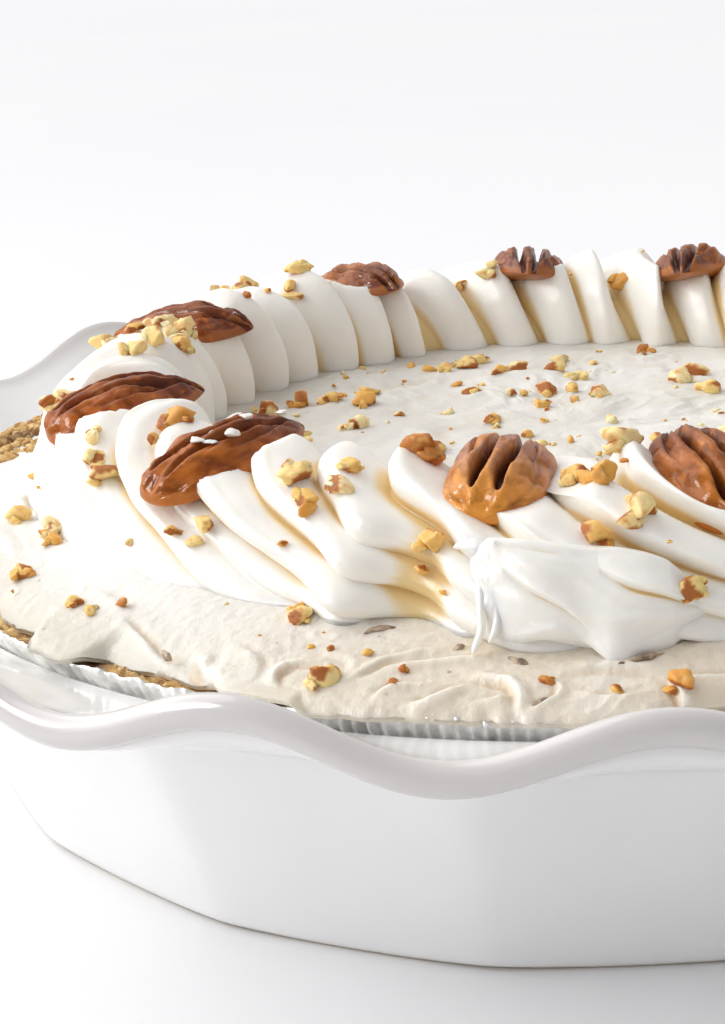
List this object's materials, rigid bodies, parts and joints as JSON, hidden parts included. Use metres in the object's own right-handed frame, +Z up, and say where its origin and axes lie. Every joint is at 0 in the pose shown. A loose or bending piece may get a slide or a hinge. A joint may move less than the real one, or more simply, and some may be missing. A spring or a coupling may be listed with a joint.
{
  "type": "pecan cream pie in a ruffled dish",
  "caption": "Round pecan cream pie with a piped cream wreath set with pecan halves, in its foil tin and a white ruffled ceramic pie dish.",
  "frame": {"origin": "on the table, under the middle of the dish", "axes": "+Z up, +X to the right, front of the pie towards -Y"},
  "size_m": [0.2648, 0.2648, 0.0665],
  "materials": {
    "ceramic": "gloss",
    "foil": "satin",
    "crumb_crust": "matte",
    "pecan_filling": "matte",
    "whipped_cream": "matte",
    "pecan": "satin",
    "chopped_pecan": "matte"
  },
  "bodies": {
    "root": {"dish": "ceramic", "foil_tin": "foil", "crust": "crumb_crust", "filling": "pecan_filling", "wreath": "whipped_cream", "pecan_01": "pecan", "pecan_02": "pecan", "pecan_03": "pecan", "pecan_04": "pecan", "pecan_05": "pecan", "pecan_06": "pecan", "pecan_07": "pecan", "pecan_08": "pecan", "pecan_09": "pecan", "pecan_10": "pecan", "pecan_11": "pecan", "pecan_12": "pecan"}
  },
  "joints": []
}
